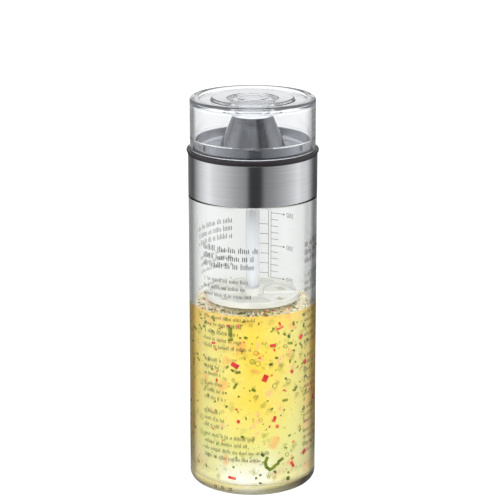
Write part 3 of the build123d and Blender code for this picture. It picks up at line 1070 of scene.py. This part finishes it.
# %% Band and bead
BAND_WALL = 0.7
BAND_EDGE = 0.3
BEAD_WIDTH = 3.4
BEAD_ROUND = 0.5
bead_radius, bead_bottom, bead_top = reach("cap_seal_ring")

band = tube(band_radius - BAND_WALL, band_radius, band_bottom, band_top, (0, BAND_EDGE, BAND_EDGE, 0))
place("brushed_band", band, band_steel, "closure", ["steel_band"])
bead = tube(bead_radius - BEAD_WIDTH, bead_radius, bead_bottom, bead_top, (0, BEAD_ROUND, BEAD_ROUND, 0.3))
place("soft_bead", bead, moulded["black_rubber"], "closure", ["cap_seal_ring"])

# %% [markdown]
# The disc and the hidden inner pieces, such as the collar, the nut and the gasket, keep their CAD shapes
# and only get a finish.

# %% Finish the CAD shapes that are kept
KEPT_SHAPES = {
    "threaded_collar": "black_plastic",
    "neck_gasket": "soft_grey",
    "deck_washer": "soft_grey",
    "clamp_nut": "white_plastic",
    "rod_tip": "white_plastic",
    "mixer_disc": "disc_plastic",
    "spout_liner": "white_plastic",
}
for node, look in KEPT_SHAPES.items():
    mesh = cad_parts[node].data
    mesh.materials.clear()
    mesh.materials.append(moulded[look])
print("finished in place:", ", ".join(KEPT_SHAPES))

# %% [markdown]
# ## Dish and spout
# The drip dish is pressed from sheet, with a round bend at its foot and a thin rim. The cone stands on its
# floor.

# %% Turn the dish and the cone
SHEET = 0.8
DISH_BEND = 2.6
DISH_HOLE = 15.4
dish = turned([
    (DISH_HOLE, deck),
    (dish_radius, deck, DISH_BEND),
    (dish_radius, dish_top, 0.3),
    (dish_radius - SHEET, dish_top, 0.3),
    (dish_radius - SHEET, deck + SHEET, DISH_BEND - SHEET),
    (DISH_HOLE, deck + SHEET),
])
place("brushed_dish", dish, dish_steel, "closure", ["drip_dish"])

CONE_TOP_RADIUS = 10.3
CONE_FLANGE = 2.0
cone_foot, cone_bottom, cone_top = reach("pour_spout")
cone_base = cone_foot - CONE_FLANGE
cone = turned([
    (cone_base - SHEET, cone_bottom),
    (cone_foot, cone_bottom, 0.2),
    (cone_foot, cone_bottom + SHEET, 0.3),
    (cone_base, cone_bottom + SHEET, 0.9),
    (CONE_TOP_RADIUS, cone_top, 0.25),
    (CONE_TOP_RADIUS - SHEET, cone_top),
    (cone_base - SHEET, cone_bottom + SHEET),
])
place("brushed_cone", cone, cone_steel, "closure", ["pour_spout"])

# %% [markdown]
# ## The mixer
# A clear tube hangs on the axis and carries the white disc.

# %% Turn the rod
ROD_BORE = 1.7
rod_radius, rod_bottom, rod_top = reach("mixer_rod")
rod = tube(ROD_BORE, rod_radius, rod_bottom, rod_top, (0.3, 0.5, 0.5, 0.3), steps=64)
place("clear_rod", rod, moulded["rod_plastic"], "closure", ["mixer_rod"])

# %% [markdown]
# ## The cap
# The cap is thick clear plastic. A step inside the skirt, a ring-shaped valley in the top, a ridge and a
# shallow lens in the middle bend the light into the rings that show from above. Its stopper plugs the pour
# hole.

# %% Turn the cap
SKIRT_WALL = 1.5
SKIRT_HEIGHT = 5.6
LEDGE = 0.6
LEDGE_ROUND = 0.06
CAP_FOOT = 0.45
CAP_PLATE = 3.1
CAP_ROUND = 1.5
CAP_INNER_ROUND = 1.0
CAP_RIM = 4.5
VALLEY = 6.4
VALLEY_DEPTH = 1.5
VALLEY_ROUND = 0.5
LENS_RADIUS = 6.9
LENS_DEPTH = 0.6
LENS_EDGE = 0.35
LENS_REACH = 10.2
LENS_ROUND = 0.15
RIDGE = 8.7
RIDGE_WIDTH = 0.45
RIDGE_DROP = 0.05
RIDGE_ROUND = 0.1
STUB_BORE = 7.0
STUB_WALL = 3.3
STUB_TAPER = 2.4
STUB_ROUND = 0.3
ROOT_ROUND = 1.2
STOPPER_FLANGE = 1.2
NOSE = 3.6

stopper_radius, stopper_low, stopper_high = reach("stopper")
skirt_bore = cap_radius - SKIRT_WALL
cap_bore = skirt_bore - LEDGE
cap_start = cap_bottom + CAP_FOOT
ledge = cap_bottom + SKIRT_HEIGHT
plate = cap_top - CAP_PLATE
valley = cap_radius - CAP_RIM
plateau = valley - VALLEY
valley_floor = cap_top - VALLEY_DEPTH
lens = cap_top - LENS_DEPTH
lens_step = cap_top - LENS_DEPTH / 2
stub_radius = STUB_BORE + STUB_WALL
stub_bottom = stopper_low + NOSE + STOPPER_FLANGE

cap_outline = [
    (0, lens),
    (LENS_RADIUS, lens, LENS_ROUND),
    (LENS_RADIUS + LENS_EDGE, lens_step, LENS_ROUND),
    (RIDGE - RIDGE_WIDTH, lens_step, RIDGE_ROUND),
    (RIDGE, cap_top - RIDGE_DROP, RIDGE_ROUND),
    (RIDGE + RIDGE_WIDTH, lens_step, RIDGE_ROUND),
    (LENS_REACH, lens_step, LENS_ROUND),
    (LENS_REACH + LENS_EDGE, cap_top, LENS_ROUND),
    (plateau, cap_top, VALLEY_ROUND),
    (plateau, valley_floor, VALLEY_ROUND),
    (valley, valley_floor, VALLEY_ROUND),
    (valley, cap_top, VALLEY_ROUND),
    (cap_radius, cap_top, CAP_ROUND),
    (cap_radius, cap_start),
    (skirt_bore, cap_start),
    (skirt_bore, ledge, LEDGE_ROUND),
    (cap_bore, ledge + LEDGE, LEDGE_ROUND),
    (cap_bore, plate, CAP_INNER_ROUND),
    (stub_radius + STUB_TAPER, plate, ROOT_ROUND),
    (stub_radius, stub_bottom, STUB_ROUND),
    (STUB_BORE, stub_bottom, STUB_ROUND),
    (STUB_BORE, plate, STUB_ROUND),
    (0, plate),
]
place("cap_cover", turned(cap_outline, closed=False), cap_plastic, "cap", ["clear_cap"])

# %% [markdown]
# The lowest edge of the skirt is matt. Three pads inside the skirt hold the cap on the dish.

# %% Matt foot of the skirt
foot_ring = tube(skirt_bore, cap_radius, cap_bottom, cap_start, (0.15, 0.15, 0, 0))
place("cap_foot", foot_ring, moulded["frosted_plastic"], "cap", ["clear_cap"])

# %% Pads inside the skirt
PAD_COUNT = 3
PAD_ANGLE = math.radians(13.0)
PAD_HEIGHT = 3.0
PAD_RISE = 2.0
PAD_GAP = 0.15
PAD_BACK = 0.02
PAD_STEPS = 6
pad_inner, pad_outer = dish_radius + PAD_GAP, skirt_bore - PAD_BACK
pad_bottom = cap_bottom + PAD_RISE
pad_top = pad_bottom + PAD_HEIGHT
pad_section = ((pad_inner, pad_bottom), (pad_inner, pad_top), (pad_outer, pad_top), (pad_outer, pad_bottom))
pads = bmesh.new()
for i in range(PAD_COUNT):
    swept(pads, pad_section, TURN / 4 + TURN / PAD_COUNT * i - PAD_ANGLE / 2, PAD_ANGLE, PAD_STEPS)
place("cap_pads", pads, cap_plastic, "cap", ["clear_cap"])

# %% [markdown]
# The stopper is a soft plug with a flange and a tapered nose.

# %% Turn the stopper
NOSE_RADIUS = 7.8
NOSE_TAPER = 0.6
PLUG_GAP = 0.1
stopper_outline = [
    (0, stopper_low),
    (NOSE_RADIUS - NOSE_TAPER, stopper_low, 0.4),
    (NOSE_RADIUS, stopper_low + NOSE, 0.3),
    (stopper_radius, stopper_low + NOSE, 0.3),
    (stopper_radius, stub_bottom, 0.3),
    (STUB_BORE - PLUG_GAP, stub_bottom),
    (STUB_BORE - PLUG_GAP, stopper_high, 0.6),
    (0, stopper_high),
]
stopper = turned(stopper_outline, closed=False)
place("cap_stopper", stopper, moulded["stopper_rubber"], "cap", ["stopper"])

# %% [markdown]
# ## The studio
# The bottle stands on a white floor. A camera ray sees the floor as white paper, and the floor keeps a
# faint shadow, partly real and partly painted. Glass and polished steel are mostly what they reflect, so a
# round wall of light and dark panels stands near the bottle. Only reflections and bent rays see it: a dark
# gap at the camera, soft lights at the sides, and dark flags behind that draw the edges of the glass. Bent
# rays see the panels softer, because a flag seen through the whole bottle is only a dim shape, and a shade
# stands at the right behind the upper half of the jar.

# %% Pattern of the panels
PANEL_POWER = 1.3
SIDE_PANELS = (
    (-180, 1.0), (-156, 1.0), (-150, 0.2), (-134, 0.14), (-120, 0.1), (-113, 0.32), (-106, 0.54), (-97, 0.8),
    (-88, 1.02), (-76, 1.24), (-68, 1.02), (-46, 0.76), (-26, 0.5), (-10, 0.36), (-5, 0.05), (13, 0.05),
    (17, 0.2), (20, 0.3), (33, 0.38), (55, 0.64), (72, 0.92), (80, 1.12), (88, 0.96), (103, 0.88),
    (113, 0.5), (121, 0.2), (128, 0.1), (140, 0.1), (156, 0.2), (161, 1.0), (180, 1.0),
)
UPPER_PANELS = (
    (-180, 0.28), (-150, 0.34), (-110, 0.67), (-70, 0.83), (-45, 0.29), (-24, 0.34), (-10, 0.52), (14, 0.5),
    (27, 0.05), (56, 0.05), (64, 0.34), (76, 0.75), (110, 0.67), (150, 0.34), (180, 0.28),
)
ROOF_PANELS = (
    (-180, 0.96), (-110, 0.93), (-90, 0.3), (-60, 0.4), (-26, 0.64), (14, 0.62), (25, 0.02), (55, 0.02),
    (68, 0.2), (90, 0.3), (110, 0.93), (180, 0.96),
)
UPPER_START = (0.229, 0.243)
ROOF_START = (0.275, 0.31)
BEHIND = (0.3, 0.5)
SOFTEN = 0.15
SOFTEN_BEHIND = 0.4
SHADE_LEVELS = (0.135, 0.12)
SHADE_ARC = ((2.97, 2.7), (2.2, 2.4))
JAR_SHADE = 0.24


def panel_ramp(finish, share, panels):
    """Light of one row of panels, given as (angle, strength), by the share of a turn round the bottle."""
    ramp = finish.node("ValToRGB", {0: share})
    stops = ramp.socket.node.color_ramp.elements
    for angle, strength in panels[1:-1]:
        stops.new(angle / 360 + 0.5)
    for stop, (angle, strength) in zip(sorted(stops, key=lambda stop: stop.position), panels):
        stop.color = grey(strength / PANEL_POWER)
    return ramp


def panel_glow(finish):
    """Emission of the panels at a place of the studio."""
    x, y, z = finish.axes()
    around = angle_round(x, y)
    share = around / TURN + 0.5
    colour = panel_ramp(finish, share, SIDE_PANELS)
    colour = finish.blend(z.between(*UPPER_START), colour, panel_ramp(finish, share, UPPER_PANELS))
    colour = finish.blend(z.between(*ROOF_START), colour, panel_ramp(finish, share, ROOF_PANELS))
    behind = (around.cosine() * -1).between(*BEHIND)
    soften = z.between(*ROOF_START[::-1]) * (behind * SOFTEN_BEHIND + SOFTEN)
    bent = finish.node("LightPath", {}, "Is Transmission Ray")
    colour = finish.blend(bent, colour, finish.blend(soften, colour, grey(1 / PANEL_POWER)))
    rise, fall = SHADE_ARC
    shade = z.between(*SHADE_LEVELS) * around.between(*rise) * around.between(*fall) * JAR_SHADE
    return finish.lit(finish.blend(shade, colour, grey(0)), PANEL_POWER)


# %% [markdown]
# The wall is an open tube that shines inwards. The camera and the matt pieces don't see it.

# %% Wall of panels
WALL_RADIUS = 0.17
WALL_HEIGHT = 1.0
WALL_LIFT = 0.001

wall_mesh = bmesh.new()
bmesh.ops.create_cone(
    wall_mesh, segments=128, radius1=WALL_RADIUS, radius2=WALL_RADIUS, depth=WALL_HEIGHT,
    matrix=Matrix.Translation((0, 0, WALL_HEIGHT / 2 + WALL_LIFT)),
)
panels = Finish("studio_panels")
wall = make("studio_wall", wall_mesh, panels.show(panel_glow(panels)))
wall.visible_camera = False
wall.visible_diffuse = False
wall.visible_shadow = False
print("panels made")

# %% [markdown]
# The floor is white paper to the camera, with a faint painted contact shadow. Reflections and bent rays see a
# glossy table in it: the panels again, apart from a patch under the bottle, which has a painted pool of warm
# light in the middle and painted grey shade round it.

# %% Floor
FLOOR_REACH = 4.0
FLOOR_LIGHT = 0.96
FLOOR_FADE = (0.09, 0.35)
PATCH = (0.046, 0.07)
# Painted light and shade under the bottle: a warm middle and grey round it, seen only in reflections and
# through the glass.
PATCH_PAINTED_LIGHT = (1.0, 0.96, 0.8, 1.0)
PATCH_PAINTED_SHADE = (0.2, 0.215, 0.235, 1.0)
FOOT_SHADE = (0.0165, 0.0215)
SHADE_SHIFT = 0.0025
# Painted contact shadow in the floor's light, shifted to the left.
PAINTED_SHADOWS = (
    ((0.033, 0.038), dimmed((0.97, 0.98, 1.0), 0.97)),
    ((0.0315, 0.0332), dimmed((0.95, 0.97, 1.0), 0.84)),
)
SEEN = ("Is Camera Ray", "Is Glossy Ray", "Is Transmission Ray")


def floor_finish():
    finish = Finish("white_floor")
    x, y, z = finish.axes()
    radius = distance(x, y)
    shade_radius = distance(x + SHADE_SHIFT, y)
    bright = finish.blend(radius.between(*FLOOR_FADE), grey(FLOOR_LIGHT), grey(1))
    # Painted contact shadow.
    for reach_of_shadow, tint in PAINTED_SHADOWS:
        bright = finish.blend(shade_radius.between(*reach_of_shadow), tint, bright)
    matt, plain = [finish.node("BsdfDiffuse", {"Color": grey(level)}) for level in (0.3, 0.8)]
    paper = finish.node("AddShader", {0: matt, 1: finish.lit(bright)})
    camera_ray, glossy_ray, bent_ray = [finish.node("LightPath", {}, name) for name in SEEN]
    # Painted light and painted shade in the patch under the bottle.
    under = finish.mix(shade_radius.between(*FOOT_SHADE), finish.lit(PATCH_PAINTED_LIGHT), finish.lit(PATCH_PAINTED_SHADE))
    table = finish.mix(radius.between(*PATCH), under, panel_glow(finish))
    return finish.show(finish.mix(glossy_ray.largest(bent_ray), finish.mix(camera_ray, plain, paper), table))


floor_mesh = bmesh.new()
bmesh.ops.create_circle(floor_mesh, cap_ends=True, segments=96, radius=FLOOR_REACH)
floor = make("floor", floor_mesh, floor_finish())
print("floor made")

# %% [markdown]
# Four soft lamps and a pale world light the matt pieces from all sides.

# %% Lamps and world
LAMPS = (
    ("key", (-0.35, -1.4, 0.9), 0.8, 13.5),
    ("fill", (0.4, -1.4, 0.8), 0.8, 11.2),
    ("top", (0.0, 0.1, 1.4), 1.2, 6.0),
    ("back", (0.3, 1.5, 0.8), 0.8, 13.0),
)
AIM = Vector((0, 0, 0.1))
WORLD_LIGHT = 0.08
SEEN_LIGHT = 1.05
for name, spot, side, power in LAMPS:
    lamp_data = bpy.data.lights.new(name, "AREA")
    lamp_data.size = side
    lamp_data.energy = power
    lamp = bpy.data.objects.new(name, lamp_data)
    lamp.location = spot
    lamp.visible_glossy = False
    lamp.rotation_euler = (AIM - Vector(spot)).to_track_quat("-Z", "Y").to_euler()
    scene.collection.objects.link(lamp)

sky = Finish("studio", bpy.data.worlds.new("studio"))
camera_ray, glossy_ray, bent_ray = [sky.node("LightPath", {}, name) for name in SEEN]
levels = (WORLD_LIGHT, SEEN_LIGHT)
dim, bright = [sky.node("Background", {"Color": grey(1), "Strength": level}) for level in levels]
seen = camera_ray.largest(glossy_ray).largest(bent_ray)
scene.world = sky.show(sky.mix(seen, dim, bright), "OutputWorld")
print("lamps:", len(LAMPS))

# %% [markdown]
# ## Camera
# The photograph was taken from about a metre away with a long lens, from a little above.

# %% Camera
CAMERA_SPOT = (-0.00136, -0.9687, 0.39545)
CAMERA_PITCH = 15.64
camera_data = bpy.data.cameras.new("camera")
camera_data.lens = 140.34
camera_data.sensor_width = 36
camera_data.shift_y = -0.0031
camera = bpy.data.objects.new("camera", camera_data)
camera.location = CAMERA_SPOT
camera.rotation_euler = (math.radians(90 - CAMERA_PITCH), 0, 0)
scene.collection.objects.link(camera)
scene.camera = camera
scene.view_settings.view_transform = "Standard"
